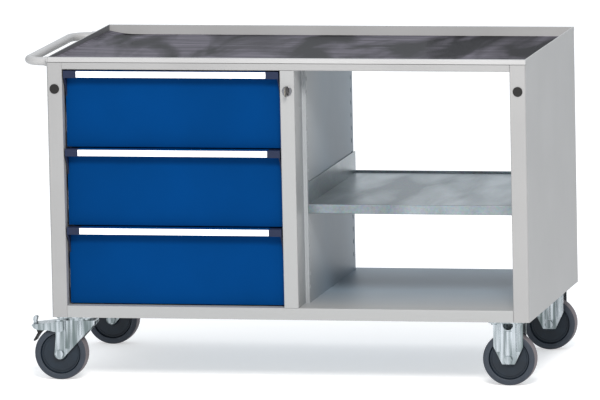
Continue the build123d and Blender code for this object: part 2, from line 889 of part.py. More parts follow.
def wheel_body(x, y):
    """Plastic rim: hub, recessed web and outer band, turned about the axle."""
    half = wheel_width / 2
    band_outer = wheel_dia / 2 - tread_thickness
    band_inner = band_outer - 5
    with BuildSketch(Plane(origin=(x, y, z_axle), x_dir=(1, 0, 0), z_dir=(0, 0, 1))) as section:
        with BuildLine():
            Polyline(
                (axle_dia / 2 + running_clearance, -hub_half),
                (hub_dia / 2, -hub_half),
                (hub_dia / 2 + 1, -half + rim_recess),
                (band_inner - 1, -half + rim_recess),
                (band_inner, -half + 1),
                (band_outer, -half + 1),
                (band_outer, half - 1),
                (band_inner, half - 1),
                (band_inner - 1, half - rim_recess),
                (hub_dia / 2 + 1, half - rim_recess),
                (hub_dia / 2, hub_half),
                (axle_dia / 2 + running_clearance, hub_half),
                close=True,
            )
        make_face()
    revolve(section.sketch, axis=Axis((x, y, z_axle), (0, 1, 0)), revolution_arc=360)


def wheel_tread(x, y):
    """Ring with a rounded running surface, moulded round the rim."""
    half = wheel_width / 2
    inner = wheel_dia / 2 - tread_thickness
    shoulder = wheel_dia / 2 - 3
    with BuildSketch(Plane(origin=(x, y, z_axle), x_dir=(1, 0, 0), z_dir=(0, 0, 1))) as section:
        with BuildLine():
            Polyline(
                (shoulder, half - 1),
                (inner + 1, half),
                (inner, half - 1),
                (inner, 1 - half),
                (inner + 1, -half),
                (shoulder, 1 - half),
            )
            ThreePointArc((shoulder, 1 - half), (wheel_dia / 2, 0), (shoulder, half - 1))
        make_face()
    revolve(section.sketch, axis=Axis((x, y, z_axle), (0, 1, 0)), revolution_arc=360)


def axle(x, y):
    """Axle bolt with a hexagon head and a nut outside the legs."""
    disc(x, z_axle, axle_dia, y - leg_outside, 2 * leg_outside)
    for y_head in (y - leg_outside - bolt_head, y + leg_outside):
        with BuildSketch(facing(y_head)) as section:
            with Locations((x, z_axle)):
                RegularPolygon(axle_dia * 0.85, 6)
        extrude(section.sketch, amount=-bolt_head)


castors = {
    "swivel_front": (swivel_axle_x, castor_front),
    "swivel_rear": (swivel_axle_x, castor_rear),
    "fixed_front": (castor_right, castor_front),
    "fixed_rear": (castor_right, castor_rear),
}

for name, (x, y) in castors.items():
    with BuildPart() as rim:
        wheel_body(x, y)
    rim.part.label = f"wheel_rim_{name}"
    export_step(rim.part, f"parts/wheel_rim_{name}.step")

    with BuildPart() as tread:
        wheel_tread(x, y)
    tread.part.label = f"wheel_tread_{name}"
    export_step(tread.part, f"parts/wheel_tread_{name}.step")


# Both kinds of castor have legs of pressed sheet, stiffened by upright beads.
def beads(y, places):
    """Beads on both legs, each a flat arch in section: its middle, width, foot and head."""
    for y_leg, outward in ((y - leg_outside, -1), (y + leg_outside, 1)):
        for x_bead, width, z_foot, z_head in places:
            with BuildSketch(level(z_foot)) as section:
                with BuildLine():
                    ThreePointArc(
                        (x_bead - width / 2, y_leg),
                        (x_bead, y_leg + outward * bead_rise),
                        (x_bead + width / 2, y_leg),
                    )
                    Line((x_bead + width / 2, y_leg), (x_bead - width / 2, y_leg))
                make_face()
            extrude(section.sketch, amount=z_head - z_foot)


# ---------------------------------------------------------------- fixed castors
# Pressed bracket: two tapering legs with a bead down the middle and one at each side,
# closed by a plate at the top. An opening in the front leg reaches in above the wheel.
fixed_top = fixed_leg_width / 2
fixed_foot = fixed_foot_width / 2
opening_width = 25
opening_drop = 20


def fixed_bracket(x, y):
    castor_plate(x, y)
    z_opening = z_plate - opening_drop
    for y_leg in (y - leg_outside, y + leg_inside):
        with BuildSketch(facing(y_leg)) as section:
            with BuildLine():
                Polyline(
                    (x - fixed_top, z_plate),
                    (x + fixed_top, z_plate),
                    (x + fixed_top, z_axle + fixed_taper_rise),
                    (x + fixed_foot, z_axle - fixed_foot_drop),
                    (x - fixed_foot, z_axle - fixed_foot_drop),
                    (x - fixed_top, z_axle + fixed_taper_rise),
                    close=True,
                )
            make_face()
            with Locations((x, z_axle)):
                Circle(axle_dia / 2, mode=Mode.SUBTRACT)
        extrude(section.sketch, amount=-leg_thickness)
    z_arch = z_opening + opening_width / 2
    with BuildSketch(facing(y - leg_outside)) as section:
        with Locations((x, z_arch)):
            Circle(opening_width / 2)
        with Locations((x, (z_arch + z_plate) / 2)):
            Rectangle(opening_width, z_plate - z_arch)
    extrude(section.sketch, amount=-leg_thickness, mode=Mode.SUBTRACT)
    z_side = z_axle + fixed_taper_rise - fixed_foot_drop
    beads(y, (
        (x, fixed_foot_width * 0.8, z_axle + axle_dia, z_opening - bead_rise),
        (x - fixed_top * 0.7, fixed_top * 0.35, z_side, z_plate),
        (x + fixed_top * 0.7, fixed_top * 0.35, z_side, z_plate),
    ))


with BuildPart() as fixed_brackets:
    fixed_bracket(castor_right, castor_front)
    fixed_bracket(castor_right, castor_rear)
fixed_brackets.part.label = "fixed_brackets"
export_step(fixed_brackets.part, "parts/fixed_brackets.step")

with BuildPart() as fixed_axles:
    axle(castor_right, castor_front)
    axle(castor_right, castor_rear)
fixed_axles.part.label = "fixed_axles"
export_step(fixed_axles.part, "parts/fixed_axles.step")

# ---------------------------------------------------------------- castor bolts
with BuildPart() as castor_bolts:
    for x in (castor_left, castor_right):
        for y in (castor_front, castor_rear):
            with BuildSketch(level(z_plate - bolt_head)):
                with Locations(*bolt_places(x, y)):
                    RegularPolygon(bolt_head_dia / 2, 6)
            extrude(amount=bolt_head)
            with BuildSketch(level(z_plate)):
                with Locations(*bolt_places(x, y)):
                    Circle(bolt_dia / 2)
            extrude(amount=plate_thickness + base_sheet)
            with BuildSketch(level(z_base + base_sheet)):
                with Locations(*bolt_places(x, y)):
                    RegularPolygon(bolt_head_dia / 2, 6)
            extrude(amount=bolt_head)
castor_bolts.part.label = "castor_bolts"
export_step(castor_bolts.part, "parts/castor_bolts.step")

# ---------------------------------------------------------------- swivel castors
# The plate carries the upper race and the kingpin. The fork's crown turns below it.
z_race = z_plate - race_height
z_crown = z_race - crown_fit
z_crown_under = z_crown - crown_drop
crown_right = castor_left + fixed_top + 8
crown_left = swivel_axle_x - 9
kingpin_head = 3

with BuildPart() as swivel_plates:
    for y in (castor_front, castor_rear):
        castor_plate(castor_left, y)
        with BuildSketch(level(z_race)):
            with Locations((castor_left, y)):
                Circle(race_dia / 2)
                Circle(kingpin_dia / 2, mode=Mode.SUBTRACT)
        extrude(amount=race_height)
        with BuildSketch(level(z_plate)):
            with Locations((castor_left, y)):
                Circle(kingpin_dia / 2)
        extrude(amount=plate_thickness, mode=Mode.SUBTRACT)
swivel_plates.part.label = "swivel_plates"
export_step(swivel_plates.part, "parts/swivel_plates.step")

with BuildPart() as kingpins:
    for y in (castor_front, castor_rear):
        with BuildSketch(level(z_crown_under - kingpin_head - crown_fit)):
            with Locations((castor_left, y)):
                Circle(kingpin_dia * 0.75)
        extrude(amount=kingpin_head)
        with BuildSketch(level(z_crown_under - crown_fit)):
            with Locations((castor_left, y)):
                Circle(kingpin_dia / 2)
        extrude(amount=castor_height - z_crown_under + crown_fit)
kingpins.part.label = "kingpins"
export_step(kingpins.part, "parts/kingpins.step")

z_pivot = z_axle + pedal_pivot_rise
pivot_x = swivel_axle_x - 4
pivot_dia = 6


def swivel_fork(y):
    """Crown with two ribbed legs that lean back to the axle."""
    block(crown_left, crown_right, y - leg_outside, y + leg_outside, z_crown_under, z_crown)
    with BuildSketch(level(z_crown_under)) as section:
        with Locations((castor_left, y)):
            Circle(kingpin_dia / 2 + running_clearance)
    extrude(section.sketch, amount=crown_drop, mode=Mode.SUBTRACT)
    for y_leg in (y - leg_outside, y + leg_inside):
        with BuildSketch(facing(y_leg)) as section:
            with BuildLine():
                Polyline(
                    (swivel_axle_x - leg_foot_radius, z_axle),
                    (crown_left, z_axle + leg_foot_radius * 3),
                    (crown_left, z_crown),
                    (crown_right, z_crown),
                    (crown_right, z_crown - 9),
                    (swivel_axle_x + leg_foot_radius * 0.7, z_axle - leg_foot_radius * 0.7),
                )
                ThreePointArc(
                    (swivel_axle_x + leg_foot_radius * 0.7, z_axle - leg_foot_radius * 0.7),
                    (swivel_axle_x - leg_foot_radius * 0.4, z_axle - leg_foot_radius * 0.92),
                    (swivel_axle_x - leg_foot_radius, z_axle),
                )
            make_face()
            with Locations((swivel_axle_x, z_axle)):
                Circle(axle_dia / 2, mode=Mode.SUBTRACT)
            with Locations((pivot_x, z_pivot)):
                Circle(pivot_dia / 2 + running_clearance, mode=Mode.SUBTRACT)
        extrude(section.sketch, amount=-leg_thickness)
    beads(y, (
        (swivel_axle_x + 19.5, 12, z_axle + leg_foot_radius, z_crown),
        (swivel_axle_x + 50, 9, z_axle + leg_foot_radius * 3.5, z_crown),
    ))


# The pedal is a pressed cover over the fork, hinged on a pin through both legs. Its
# outer end turns up as a tread, and a plastic shoe under it meets the wheel.
web_inside = leg_outside + pedal_gap
web_outside = web_inside + pedal_sheet
pedal_left = swivel_axle_x - pedal_reach
pedal_right = swivel_axle_x + 10
z_pedal_right = z_crown - 2
z_pedal_left = z_pedal_right - 9
tab_width = 18
tab_head = 12


def brake_pedal(y):
    cover = [
        (pedal_right, z_pedal_right),
        (pedal_left, z_pedal_left),
        (pedal_left, z_pedal_left - pedal_sheet),
        (pedal_right, z_pedal_right - pedal_sheet),
    ]
    with BuildSketch(facing(y - web_outside)) as section:
        with BuildLine():
            Polyline(*cover, close=True)
        make_face()
    extrude(section.sketch, amount=-2 * web_outside)
    block(crown_left - 1, pedal_right + 1, y - leg_outside - 0.2, y + leg_outside + 0.2,
          z_pivot, z_pedal_right + 1, Mode.SUBTRACT)
    corner = (pedal_right, z_pivot - pedal_web * 0.6)
    for y_web in (y - web_outside, y + web_inside):
        with BuildSketch(facing(y_web)) as section:
            with BuildLine():
                Polyline(
                    corner,
                    (pedal_right, z_pedal_right - 0.5),
                    (pedal_left, z_pedal_left - 0.5),
                    (pedal_left + 5, z_pedal_left - pedal_web * 0.5),
                )
                Spline(
                    (pedal_left + 5, z_pedal_left - pedal_web * 0.5),
                    (pedal_left + 15, z_pedal_left - pedal_web * 0.72),
                    (pivot_x - 22, z_pivot - pedal_web * 0.6),
                    (pivot_x - 6, z_pivot - pedal_web * 0.8),
                    corner,
                )
            make_face()
        extrude(section.sketch, amount=-pedal_sheet)
    with BuildSketch(facing(y - tab_width / 2)) as section:
        with BuildLine():
            Polyline(
                (pedal_left, z_pedal_left - 1),
                (pedal_left + 8, z_pedal_left - 1),
                (pedal_left + 6, z_pedal_left + tab_head),
                (pedal_left + 2, z_pedal_left + tab_head),
                close=True,
            )
        make_face()
        with Locations((pedal_left + 4, z_pedal_left + tab_head)):
            RectangleRounded(tab_head * 0.7, tab_head, tab_head * 0.3, rotation=-15)
    extrude(section.sketch, amount=-tab_width)
    disc(pivot_x, z_pivot, pivot_dia, y - web_outside, 2 * web_outside)


def under_cover(x):
    """Height of the cover's underside above x."""
    slope = (z_pedal_right - z_pedal_left) / (pedal_right - pedal_left)
    return z_pedal_left - pedal_sheet + slope * (x - pedal_left)


def on_wheel(radius, degrees):
    """Point at a radius round the swivel castor's axle."""
    angle = radians(degrees)
    return (swivel_axle_x + radius * cos(angle), z_axle + radius * sin(angle))


def brake_shoe(y):
    """Shoe that hangs from the cover between the webs, with a finger along the tread."""
    inner = wheel_dia / 2 + shoe_gap
    start = on_wheel(inner, shoe_start)
    middle = on_wheel(inner, (shoe_start + shoe_end) / 2)
    end = on_wheel(inner, shoe_end)
    tip = on_wheel(inner + shoe_tip, shoe_end)
    waist = on_wheel(inner + shoe_thickness / 2, shoe_waist)
    shoulder_x = pedal_left + shoe_thickness / 2
    with BuildSketch(facing(y - wheel_width * 0.45)) as section:
        with BuildLine():
            ThreePointArc(start, middle, end)
            Polyline(end, tip, waist, (shoulder_x, under_cover(shoulder_x)),
                     (start[0], under_cover(start[0])), start)
        make_face()
    extrude(section.sketch, amount=-0.9 * wheel_width)


for name, y in (("front", castor_front), ("rear", castor_rear)):
    with BuildPart() as fork:
        swivel_fork(y)
    fork.part.label = f"swivel_fork_{name}"
    export_step(fork.part, f"parts/swivel_fork_{name}.step")

    with BuildPart() as wheel_axle:
        axle(swivel_axle_x, y)
    wheel_axle.part.label = f"swivel_axle_{name}"
    export_step(wheel_axle.part, f"parts/swivel_axle_{name}.step")

    with BuildPart() as pedal:
        brake_pedal(y)
    pedal.part.label = f"brake_pedal_{name}"
    export_step(pedal.part, f"parts/brake_pedal_{name}.step")

    with BuildPart() as shoe:
        brake_shoe(y)
    shoe.part.label = f"brake_shoe_{name}"
    export_step(shoe.part, f"parts/brake_shoe_{name}.step")
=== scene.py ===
from math import cos, pi, radians, sin

import bmesh
import bpy
from mathutils import Matrix, Vector


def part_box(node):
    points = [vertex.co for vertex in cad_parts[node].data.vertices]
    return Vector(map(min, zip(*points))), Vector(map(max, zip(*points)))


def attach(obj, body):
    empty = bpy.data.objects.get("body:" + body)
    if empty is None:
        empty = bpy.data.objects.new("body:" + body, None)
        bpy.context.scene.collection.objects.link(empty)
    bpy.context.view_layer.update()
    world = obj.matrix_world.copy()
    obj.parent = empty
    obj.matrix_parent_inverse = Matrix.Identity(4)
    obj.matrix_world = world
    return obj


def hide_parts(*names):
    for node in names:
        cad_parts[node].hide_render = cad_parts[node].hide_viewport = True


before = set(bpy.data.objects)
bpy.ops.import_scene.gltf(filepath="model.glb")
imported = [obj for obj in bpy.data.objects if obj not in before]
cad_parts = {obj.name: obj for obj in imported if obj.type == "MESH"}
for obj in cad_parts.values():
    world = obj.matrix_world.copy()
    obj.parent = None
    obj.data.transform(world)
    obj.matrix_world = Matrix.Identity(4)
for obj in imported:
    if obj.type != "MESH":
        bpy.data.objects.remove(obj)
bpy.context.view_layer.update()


# ---- Camera ------------------------------------------------------------------------
# A long lens far off to the front right and a little above, so that the front stays
# nearly square to the view. It is rolled slightly to bring the front's edges near level.
azimuth = radians(12.06)
elevation = radians(7.97)
roll = radians(-1.17)
distance = 20.07
target = Vector((-0.005, 0, 0.394))
lens = 508.3

towards_camera = Vector((sin(azimuth) * cos(elevation), -cos(azimuth) * cos(elevation), sin(elevation)))
level_right = Vector((0, 0, 1)).cross(towards_camera).normalized()
level_up = towards_camera.cross(level_right)
camera_right = cos(roll) * level_right + sin(roll) * level_up
camera_up = towards_camera.cross(camera_right)
camera_data = bpy.data.cameras.new("camera")
camera_data.lens = lens
camera_data.sensor_width = 36
camera_data.clip_end = 200
camera = bpy.data.objects.new("camera", camera_data)
facing = Matrix((camera_right, camera_up, towards_camera)).transposed().to_4x4()
camera.matrix_world = Matrix.Translation(target + towards_camera * distance) @ facing
bpy.context.scene.collection.objects.link(camera)
bpy.context.scene.camera = camera
bpy.context.scene.view_settings.view_transform = "Standard"


# ---- Side panels, rails and drawer bay ---------------------------------------------
# Folded steel sheets, all with a light grey powder coat that was baked on. It gives a
# soft even sheen, a slight orange peel and hardly any colour change.
def srgb(code):
    """Linear colour of an sRGB hex value."""
    parts = [int(code[i:i + 2], 16) / 255 for i in (1, 3, 5)]
    return (*[c / 12.92 if c <= 0.04045 else ((c + 0.055) / 1.055) ** 2.4 for c in parts], 1)


def connect(material, node, inputs):
    """Sets inputs. Each takes a value, a socket, or a node, which gives its first output."""
    for socket, value in inputs.items():
        if isinstance(value, bpy.types.Node):
            value = value.outputs[0]
        if isinstance(value, bpy.types.NodeSocket):
            material.node_tree.links.new(value, node.inputs[socket])
        else:
            node.inputs[socket].default_value = value


def add_node(material, kind, inputs, **settings):
    """Adds a shader node to a material or a world, with its inputs and settings."""
    node = material.node_tree.nodes.new("ShaderNode" + kind)
    for name, value in settings.items():
        setattr(node, name, value)
    connect(material, node, inputs)
    return node


def new_finish(name, inputs):
    """A material with one Principled surface, and the place on the object for patterns."""
    material = bpy.data.materials.new(name)
    material.use_nodes = True
    surface = material.node_tree.nodes["Principled BSDF"]
    connect(material, surface, inputs)
    return material, surface, add_node(material, "TexCoord", {}).outputs["Object"]


def per_metre(spacing):
    """Scale of a pattern whose spacing is in mm."""
    return 1000 / spacing


def coat_clouds(material, place, spacing):
    """Soft clouds, where a powder coat came out a little thicker or thinner."""
    cloud = add_node(material, "TexNoise", {"Vector": place, "Scale": per_metre(spacing), "Detail": 3})
    return add_node(material, "MapRange", {"Value": cloud, "From Min": 0.35, "From Max": 0.65})


def orange_peel(material, place, spacing, depth):
    """The slight unevenness of a baked powder coat, its spacing and depth in mm."""
    peel = add_node(material, "TexNoise", {"Vector": place, "Scale": per_metre(spacing), "Detail": 2})
    return add_node(material, "Bump", {"Height": peel, "Strength": 0.5, "Distance": depth / 1000})


def coat_cad(material, *names):
    """Gives CAD nodes that keep their shape a finish."""
    for name in names:
        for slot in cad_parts[name].material_slots:
            slot.material = material


powder = {"Roughness": 0.45, "IOR": 1.5}
peel_spacing = 2.38
peel_depth = 0.06

grey_coat, surface, place = new_finish("light_grey_powder_coat", powder)
cloud = coat_clouds(grey_coat, place, 222)
colour = add_node(grey_coat, "MixRGB", {
    "Fac": cloud, "Color1": srgb("#8F8F8F"), "Color2": srgb("#949494")})
peel = orange_peel(grey_coat, place, peel_spacing, peel_depth)
connect(grey_coat, surface, {"Base Color": colour, "Normal": peel})
coat_cad(grey_coat, "left_side_panel", "right_side_panel", "top_rails", "base_channels",
         "drawer_uprights", "drawer_bay_back")


# ---- Worktop tray and handle -------------------------------------------------------
# Folded steel sheet and bent tube in the same grey, painted a shade lighter as the extra
# light that falls on them. The inside face of the left rim is painted dark grey as shade.
rim_width = 0.003
rim_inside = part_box("worktop_tray")[0].x + rim_width
rim_shade_reach = 0.0004

# The same grey coat, painted a shade lighter for the extra light the tray and handle catch.
tray_coat_painted_lighter, surface, place = new_finish("light_grey_powder_coat_tray_painted_lighter", powder)
cloud = coat_clouds(tray_coat_painted_lighter, place, 250)
colour = add_node(tray_coat_painted_lighter, "MixRGB", {
    "Fac": cloud, "Color1": srgb("#A1A1A1"), "Color2": srgb("#A7A7A7")})
# A thin slab at the inside face of the left rim is painted dark grey as shade beside the dark mat.
across = add_node(tray_coat_painted_lighter, "SeparateXYZ", {"Vector": place}).outputs["X"]
rim_painted_shade = add_node(tray_coat_painted_lighter, "Math", {0: across, 1: rim_inside, 2: rim_shade_reach}, operation="COMPARE")
colour = add_node(tray_coat_painted_lighter, "MixRGB", {"Fac": rim_painted_shade, "Color1": colour, "Color2": srgb("#5A5B5E")})
peel = orange_peel(tray_coat_painted_lighter, place, peel_spacing, peel_depth)
connect(tray_coat_painted_lighter, surface, {"Base Color": colour, "Normal": peel})
coat_cad(tray_coat_painted_lighter, "worktop_tray", "push_handle")


# ---- Slotted walls and base --------------------------------------------------------
# The same steel and coat. Inside the niche the colour is painted darker and cooler as
# shade, shifting from the front faces inwards.
wall_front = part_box("partition_wall")[0].y
niche_shade_from = wall_front + 0.032
niche_shade_to = wall_front + 0.282

niche_coat_painted_shade, surface, place = new_finish("light_grey_powder_coat_painted_niche_shade", powder)
depth = add_node(niche_coat_painted_shade, "SeparateXYZ", {"Vector": place}).outputs["Y"]
depth = add_node(niche_coat_painted_shade, "MapRange", {"Value": depth, "From Min": niche_shade_from, "From Max": niche_shade_to})
cloud = coat_clouds(niche_coat_painted_shade, place, 200)
# Darker, cooler grey painted as the shade deep inside the niche.
cool_painted_shade = add_node(niche_coat_painted_shade, "MixRGB", {
    "Fac": cloud, "Color1": srgb("#7C8D9B"), "Color2": srgb("#8494A1")})
colour = add_node(niche_coat_painted_shade, "MixRGB", {"Fac": depth, "Color1": srgb("#969797"), "Color2": cool_painted_shade})
peel = orange_peel(niche_coat_painted_shade, place, peel_spacing, peel_depth)
connect(niche_coat_painted_shade, surface, {"Base Color": colour, "Normal": peel})
coat_cad(niche_coat_painted_shade, "partition_wall", "right_liner", "base_panel")


# ---- Drawer fronts and boxes -------------------------------------------------------
# Folded steel with the same kind of coat in a strong blue, with a finer peel.
blue_coat, surface, place = new_finish("gentian_blue_powder_coat", {
    "Roughness": 0.5, "IOR": 1.5, "Specular IOR Level": 0.02})
cloud = coat_clouds(blue_coat, place, 182)
colour = add_node(blue_coat, "MixRGB", {
    "Fac": cloud, "Color1": srgb("#003367"), "Color2": srgb("#00366D")})
peel = orange_peel(blue_coat, place, 2, 0.05)
connect(blue_coat, surface, {"Base Color": colour, "Normal": peel})
for number in (1, 2, 3):
    coat_cad(blue_coat, f"drawer_front_{number}", f"drawer_box_{number}")


# ---- Grip end caps -----------------------------------------------------------------
# Blocks that close the ends of each drawer's grip, moulded in dark blue polypropylene
# with a fine sparked texture, so they hardly shine.
cap_plastic, surface, place = new_finish("dark_blue_moulded_polypropylene", {
    "Roughness": 0.55, "IOR": 1.49, "Specular IOR Level": 0.3})
grain = add_node(cap_plastic, "TexNoise", {"Vector": place, "Scale": per_metre(1.67), "Detail": 2})
colour = add_node(cap_plastic, "MixRGB", {
    "Fac": grain, "Color1": srgb("#101A33"), "Color2": srgb("#16213B")})
grain = add_node(cap_plastic, "Bump", {"Height": grain, "Strength": 0.4, "Distance": 0.00008})
connect(cap_plastic, surface, {"Base Color": colour, "Normal": grain})
coat_cad(cap_plastic, *[f"grip_caps_{number}" for number in (1, 2, 3)])


# ---- Label strips ------------------------------------------------------------------
# White card behind a clear glossy cover, pushed into the lip of each drawer's grip.
label_card, surface, place = new_finish("white_card_under_clear_cover", {
    "Roughness": 0.6, "Coat Weight": 1.0, "Coat Roughness": 0.08})
fibre = add_node(label_card, "TexNoise", {"Vector": place, "Scale": per_metre(3.33), "Detail": 4})
colour = add_node(label_card, "MixRGB", {
    "Fac": fibre, "Color1": srgb("#FAFAFA"), "Color2": srgb("#FFFFFF")})
connect(label_card, surface, {"Base Color": colour})
coat_cad(label_card, *[f"label_strip_{number}" for number in (1, 2, 3)])


# ---- Runners -----------------------------------------------------------------------
# Cold-rolled steel channels, zinc plated, with fine drawing lines along their length.
runner_steel, surface, place = new_finish("zinc_plated_runner_steel", {
    "Metallic": 1.0, "Roughness": 0.3})
along = add_node(runner_steel, "Mapping", {"Vector": place, "Scale": (20, 1, 20)})
lines = add_node(runner_steel, "TexNoise", {"Vector": along, "Scale": per_metre(62.5), "Detail": 4})
lines = add_node(runner_steel, "MapRange", {"Value": lines, "From Min": 0.3, "From Max": 0.7})
colour = add_node(runner_steel, "MixRGB", {
    "Fac": lines, "Color1": srgb("#A5A9AB"), "Color2": srgb("#C4C7C8")})
connect(runner_steel, surface, {"Base Color": colour})
coat_cad(runner_steel, "cabinet_runners")
for number in (1, 2, 3):
    coat_cad(runner_steel, f"middle_runners_{number}", f"drawer_runners_{number}")


# ---- Shelf, its clips and the lock's linkage ---------------------------------------
# Hot-dip galvanised sheet, folded after galvanising. It is dull and smudged by handling,
# with long soft marks from front to rear and a fine crystal grain.
galvanised, surface, place = new_finish("galvanised_sheet_steel", {"Metallic": 0.8})
along = add_node(galvanised, "Mapping", {
    "Vector": place, "Scale": (1, 0.3, 1), "Rotation": (0, 0, radians(25))})
smudge = add_node(galvanised, "TexNoise", {
    "Vector": along, "Scale": per_metre(91), "Detail": 3, "Distortion": 0.4})
smudge = add_node(galvanised, "MapRange", {"Value": smudge, "From Min": 0.35, "From Max": 0.68})
grain = add_node(galvanised, "TexVoronoi", {"Vector": place, "Scale": per_metre(4.17)})
grain = grain.outputs["Color"]
colour = add_node(galvanised, "MixRGB", {
    "Fac": smudge, "Color1": srgb("#707A7F"), "Color2": srgb("#8A9499")})
colour = add_node(galvanised, "MixRGB", {"Fac": 0.05, "Color1": colour, "Color2": grain})
rough = add_node(galvanised, "MapRange", {"Value": smudge, "To Min": 0.42, "To Max": 0.3})
connect(galvanised, surface, {"Base Color": colour, "Roughness": rough})
coat_cad(galvanised, "shelf", "shelf_clips", "lock_bar", "lock_cam")


# ---- Castor brackets, forks, pedals and bolts --------------------------------------
# Pressed steel, zinc plated and clear passivated: smooth and bright, with a bluish cast
# and upright dark and pale bands painted in as reflections of the surroundings.
bright_zinc, surface, place = new_finish("bright_zinc_plate", {"Metallic": 1.0})
painted_reflection_streaks = add_node(bright_zinc, "Mapping", {"Vector": place, "Scale": (1, 1, 0.06)})
painted_reflection_streaks = add_node(bright_zinc, "TexNoise", {"Vector": painted_reflection_streaks, "Scale": per_metre(8.33), "Detail": 2})
painted_reflection_streaks = add_node(bright_zinc, "MapRange", {"Value": painted_reflection_streaks, "From Min": 0.34, "From Max": 0.66})
bath = add_node(bright_zinc, "TexNoise", {"Vector": place, "Scale": per_metre(35.7), "Detail": 2})
bath = add_node(bright_zinc, "MixRGB", {
    "Fac": bath, "Color1": srgb("#5F6B6E"), "Color2": srgb("#76807F")})
# Upright pale bands mixed into the colour as painted reflections on the zinc.
colour = add_node(bright_zinc, "MixRGB", {"Fac": painted_reflection_streaks, "Color1": bath, "Color2": srgb("#B4BBC0")})
rough = add_node(bright_zinc, "MapRange", {"Value": painted_reflection_streaks, "To Min": 0.34, "To Max": 0.2})
ridge = add_node(bright_zinc, "Bump", {"Height": painted_reflection_streaks, "Strength": 0.6, "Distance": 0.0006})
connect(bright_zinc, surface, {"Base Color": colour, "Roughness": rough, "Normal": ridge})
coat_cad(bright_zinc, "fixed_brackets", "fixed_axles", "castor_bolts", "swivel_plates", "kingpins")
for end in ("front", "rear"):
    coat_cad(bright_zinc, f"swivel_fork_{end}", f"swivel_axle_{end}", f"brake_pedal_{end}")


# ---- Lock --------------------------------------------------------------------------
# Die-cast barrel and core, polished and chrome plated, so they mirror light and dark.
chrome, surface, place = new_finish("polished_chrome_plate", {"Metallic": 1.0, "Roughness": 0.12})
bath = add_node(chrome, "TexNoise", {"Vector": place, "Scale": per_metre(4), "Detail": 2})
colour = add_node(chrome, "MixRGB", {"Fac": bath, "Color1": srgb("#67676A"), "Color2": srgb("#8A8A8E")})
connect(chrome, surface, {"Base Color": colour})
coat_cad(chrome, "lock_barrel", "lock_core")


# ---- Key ---------------------------------------------------------------------------
# Flat brass key, nickel plated and rubbed dull by use.
key_metal, surface, place = new_finish("worn_nickel_plated_brass", {"Metallic": 1.0, "Roughness": 0.3})
wear = add_node(key_metal, "TexNoise", {"Vector": place, "Scale": per_metre(5), "Detail": 3})
colour = add_node(key_metal, "MixRGB", {
    "Fac": wear, "Color1": srgb("#6E6A62"), "Color2": srgb("#948F86")})
connect(key_metal, surface, {"Base Color": colour})
coat_cad(key_metal, "lock_key")


# ---- Hole plugs and brake shoes ----------------------------------------------------
# Moulded polyethylene, satin black, with a faint grain that breaks up the shine.
black_plastic, surface, place = new_finish("black_moulded_polyethylene", {
    "Roughness": 0.5, "IOR": 1.51, "Specular IOR Level": 0.3})
grain = add_node(black_plastic, "TexNoise", {"Vector": place, "Scale": per_metre(2), "Detail": 2})
colour = add_node(black_plastic, "MixRGB", {
    "Fac": grain, "Color1": srgb("#100F0E"), "Color2": srgb("#1C1A19")})
grain = add_node(black_plastic, "Bump", {"Height": grain, "Strength": 0.4, "Distance": 0.00008})
connect(black_plastic, surface, {"Base Color": colour, "Normal": grain})
coat_cad(black_plastic, "hole_plugs", "brake_shoe_front", "brake_shoe_rear")


# ---- Mat ---------------------------------------------------------------------------
# Black rubber mat with fine ribs along its length, laid loose in the tray. Its left edge
# has curled up against the rim, and dust and wiping have left pale bands.
def finish_piece(mesh, name, materials, body, replaced):
    """Turns a closed mesh into a smooth-shaded piece that rides on a body."""
    bmesh.ops.remove_doubles(mesh, verts=mesh.verts, dist=1e-6)
    bmesh.ops.recalc_face_normals(mesh, faces=mesh.faces)
    data = bpy.data.meshes.new(name)
    mesh.to_mesh(data)
    mesh.free()
    data.shade_smooth()
    data.set_sharp_from_angle(angle=radians(35))
    for material in materials:
        data.materials.append(material)
    piece = bpy.data.objects.new(name, data)
    bpy.context.scene.collection.objects.link(piece)
    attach(piece, body)
    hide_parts(replaced)


rib_pitch = 0.006
rib_edge = 0.001
rib_rise = 0.0006
curl_reach = 0.07
rear_curl = 0.009
front_curl = 0.016
curl_steps = 12

low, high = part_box("rubber_mat")
size = high - low
rib_foot = high.z - rib_rise
mat = bmesh.new()
bmesh.ops.create_grid(mat, x_segments=1, y_segments=round(size.y / rib_pitch), size=0.5)
bmesh.ops.scale(mat, vec=(size.x, size.y, 1), verts=mat.verts)
bmesh.ops.translate(mat, vec=((low.x + high.x) / 2, (low.y + high.y) / 2, rib_foot), verts=mat.verts)
bmesh.ops.inset_individual(mat, faces=mat.faces[:], thickness=rib_edge, depth=rib_rise,
                           use_even_offset=True)
for step in range(1, curl_steps + 1):
    bmesh.ops.bisect_plane(mat, geom=mat.verts[:] + mat.edges[:] + mat.faces[:],
                           plane_co=(low.x + curl_reach * step / curl_steps, 0, 0), plane_no=(1, 0, 0))
border = [edge for edge in mat.edges if edge.is_boundary]
skirt = bmesh.ops.extrude_edge_only(mat, edges=border)["geom"]
skirt = [part for part in skirt if isinstance(part, bmesh.types.BMVert)]
bmesh.ops.translate(mat, vec=(0, 0, low.z - rib_foot), verts=skirt)
bmesh.ops.holes_fill(mat, edges=[edge for edge in mat.edges if edge.is_boundary])
for vert in mat.verts:
    forward = (high.y - vert.co.y) / size.y
    rise = rear_curl + (front_curl - rear_curl) * forward
    vert.co.z += rise * max(0.0, 1 - (vert.co.x - low.x) / curl_reach) ** 2

